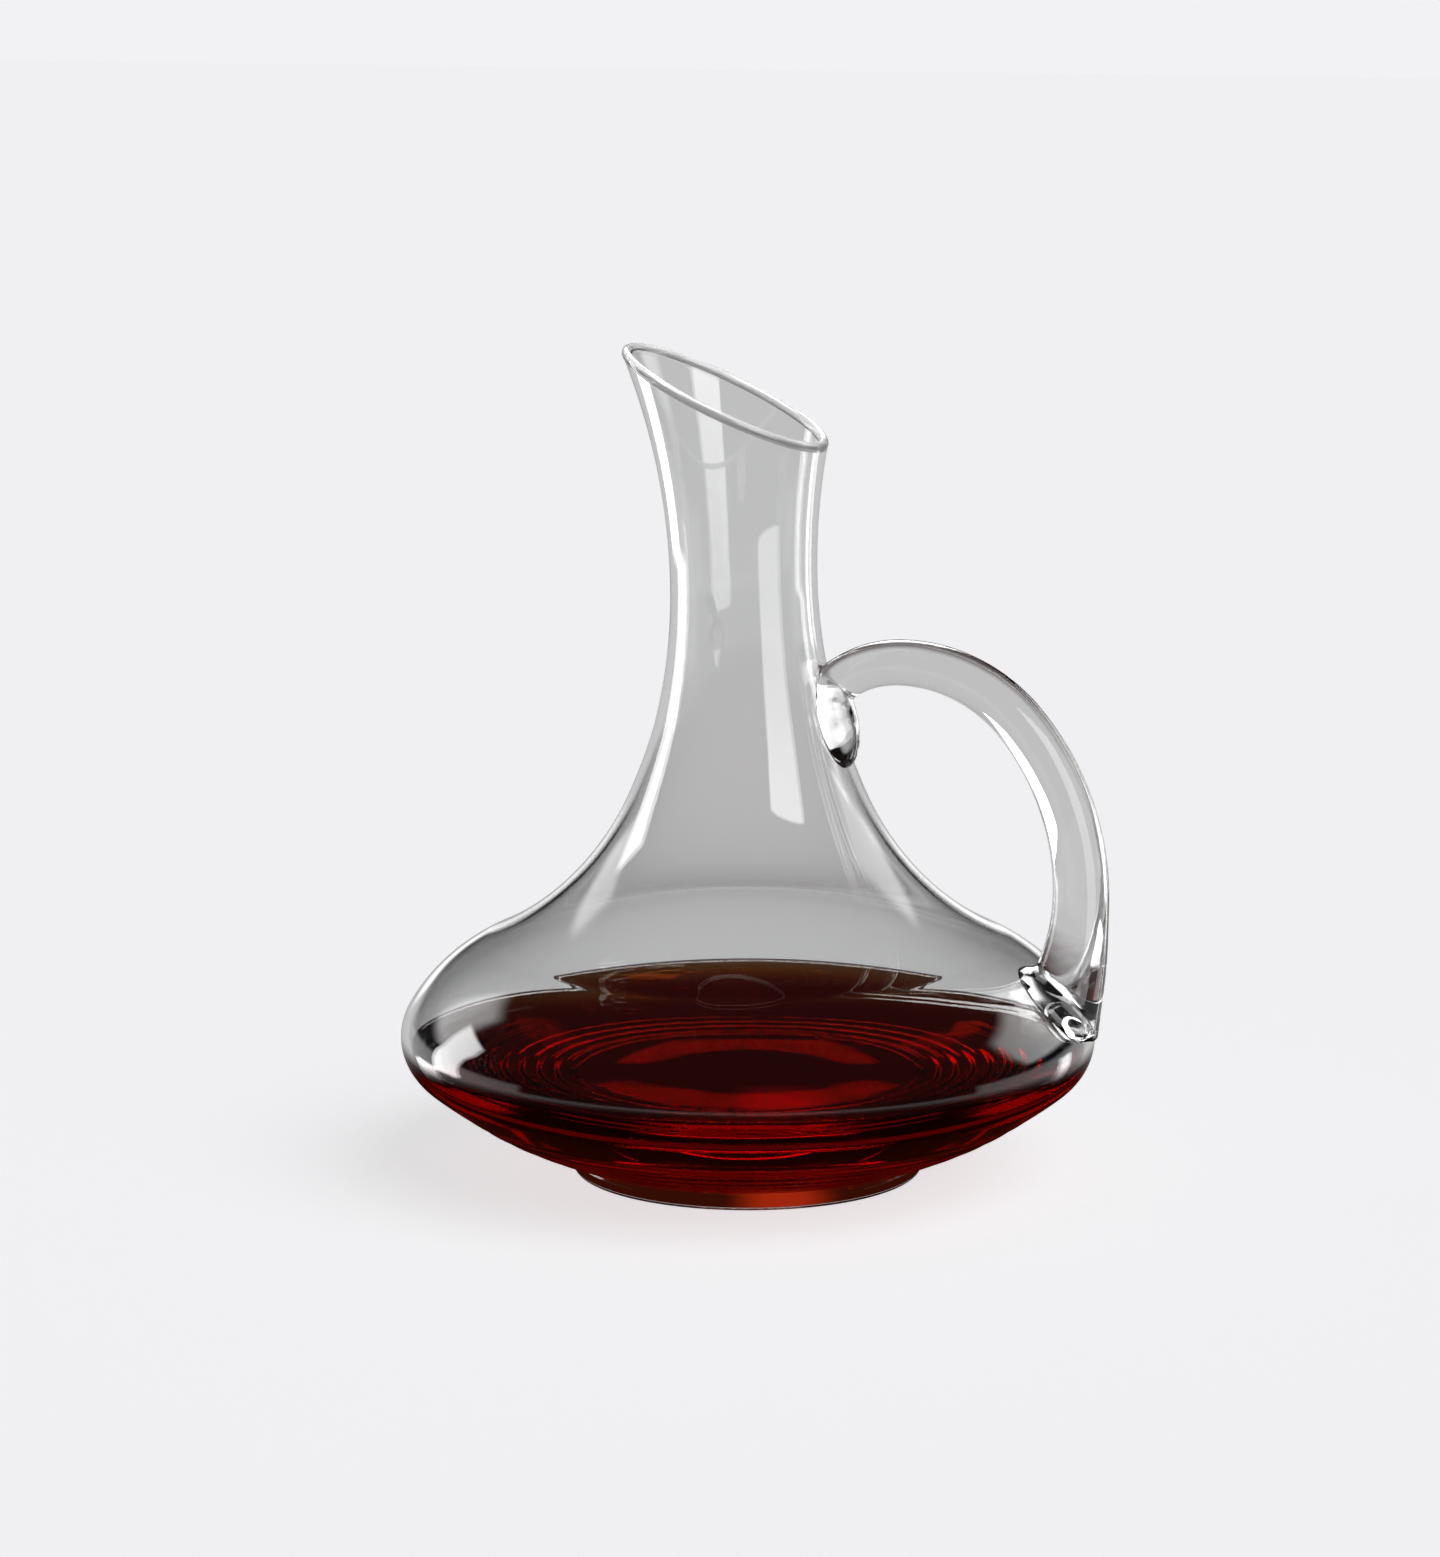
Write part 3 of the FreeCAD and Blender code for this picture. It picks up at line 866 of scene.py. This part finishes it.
def studio_world():
    """Pale to the camera and an even grey through the glass; mirrored light meets the cards and darkness."""
    world = bpy.data.worlds.new("studio")
    bpy.context.scene.world = world
    world.cycles.sampling_method = "NONE"
    world.use_nodes = True
    wires = Wires(world.node_tree)
    direction = wires.nodes.new("ShaderNodeTexCoord").outputs["Generated"]
    elevation = wires.sum("DEGREES", wires.sum("ARCSINE", wires.dot(direction, (0, 0, 1))))
    colour = wires.mix(wires.step(elevation, 0, HORIZON_EDGE), SEEN_THROUGH, ABOVE)
    for card in CARDS:
        colour = lay_card(wires, direction, elevation, colour, card)
    colour = wires.mix(wires.mirrored(), SEEN_THROUGH, colour)
    colour = wires.mix(wires.path("Is Diffuse Ray"), colour, (0.0, 0.0, 0.0))
    colour = wires.mix(wires.path("Is Camera Ray"), colour, PALE)
    wires.links.new(colour, wires.nodes["Background"].inputs["Color"])


def group_of(name, pieces):
    """A collection of pieces for a lamp to light, or to cast shadows of."""
    group = bpy.data.collections.new(name)
    for piece in pieces:
        group.objects.link(piece)
    return group


def add_lamp(name, light, location, turn, receivers):
    """A lamp that the camera doesn't see, and that lights only its receivers."""
    lamp = add_object(name, light)
    lamp.location = location
    lamp.rotation_euler = turn
    lamp.visible_camera = False
    lamp.light_linking.receiver_collection = group_of(name + "_lights", receivers)
    return lamp


def shadow_sun(receivers, blockers):
    """One soft overhead light for the floor alone, which leaves the shadow low on the left."""
    light = bpy.data.lights.new("shadow_sun", "SUN")
    light.energy = SUN_SHARE * math.pi / math.cos(math.radians(SUN_TILT))
    light.angle = math.radians(SUN_WIDTH)
    turn = [math.radians(angle) for angle in (SUN_AHEAD, SUN_TILT, VIEW_AZIMUTH)]
    lamp = add_lamp("shadow_sun", light, (0, 0, 1), turn, receivers)
    lamp.light_linking.blocker_collection = group_of("shading", blockers)


def card_lamp(name, card, receivers):
    """A far panel, from dim at its lower edge to bright at its upper one, perhaps for mirrored light only."""
    low = card["seen_from"] + LAMP_AWAY * math.tan(math.radians(card["low"]))
    high = card["seen_from"] + LAMP_AWAY * math.tan(math.radians(card["high"]))
    light = bpy.data.lights.new(name, "AREA")
    light.shape = "RECTANGLE"
    light.size = 2 * LAMP_AWAY * math.tan(math.radians(card["half_width"]))
    light.size_y = high - low
    light.energy = math.pi * light.size * light.size_y
    light.use_nodes = True
    wires = Wires(light.node_tree)
    panel = wires.nodes.new("ShaderNodeNewGeometry").outputs["Parametric"]
    strength = wires.step(wires.dot(panel, (0, 1, 0)), 0, 1, card["dim"], card["bright"])
    if card["mirrored_only"]:
        strength = wires.sum("MULTIPLY", strength, wires.mirrored())
    wires.links.new(strength, wires.nodes["Emission"].inputs["Strength"])
    toward = Vector(bearing_vector(card["bearing"]))
    place = toward * LAMP_AWAY + Vector((0, 0, (low + high) / 2))
    add_lamp(name, light, place, (-toward).to_track_quat("-Z", "Y").to_euler(), receivers)


def rim_lamp(receivers):
    """A small overhead panel for the bead of the rim."""
    light = bpy.data.lights.new("rim_lamp", "AREA")
    light.shape = "DISK"
    light.size = RIM_LAMP_SIZE
    light.energy = RIM_LAMP_ENERGY
    add_lamp("rim_lamp", light, RIM_LAMP_PLACE, (0, 0, 0), receivers)


def studio_camera():
    """The camera, at the photograph's viewing angle."""
    turn = math.radians(VIEW_AZIMUTH)
    rise = math.radians(VIEW_ELEVATION)
    right = Vector((math.cos(turn), math.sin(turn), 0))
    back = Vector((math.sin(turn) * math.cos(rise), -math.cos(turn) * math.cos(rise), math.sin(rise)))
    target = Vector((0, 0, AIM_HEIGHT)) - right * AIM_LEFT
    data = bpy.data.cameras.new("view")
    data.sensor_width = SENSOR
    data.lens = LENS
    camera = add_object("view", data)
    camera.location = target + back * VIEW_DISTANCE
    camera.rotation_euler = (-back).to_track_quat("-Z", "Y").to_euler()
    bpy.context.scene.camera = camera


# ---------------------------------------------------------------- assembly

def dress(piece, material, node):
    """Give a piece its material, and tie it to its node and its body."""
    piece.data.materials.clear()
    piece.data.materials.append(material)
    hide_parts(node)
    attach(piece, "root")
    return piece


blown = glass_material("blown_glass")
bowl, neck = vessel_pieces()
dress(bowl, blown, "vessel")
dress(neck, blown, "vessel")
rim = dress(rim_piece(), rim_material(), "vessel")
foot = dress(foot_piece(), glass_material("foot_glass"), "foot")
handle = dress(handle_piece(), glass_material("rod_glass"), "handle")
wine = dress(wine_piece(), wine_material(), "wine")

floor = studio_floor()
studio_world()
studio_camera()
shadow_sun([floor], [foot, wine])
card_lamp("window_lamp", WINDOW, [neck, rim, handle])
card_lamp("handle_lamp", HANDLE_LIGHT, [handle])
rim_lamp([rim])

scene = bpy.context.scene
scene.view_settings.view_transform = "Standard"
scene.view_settings.look = "None"
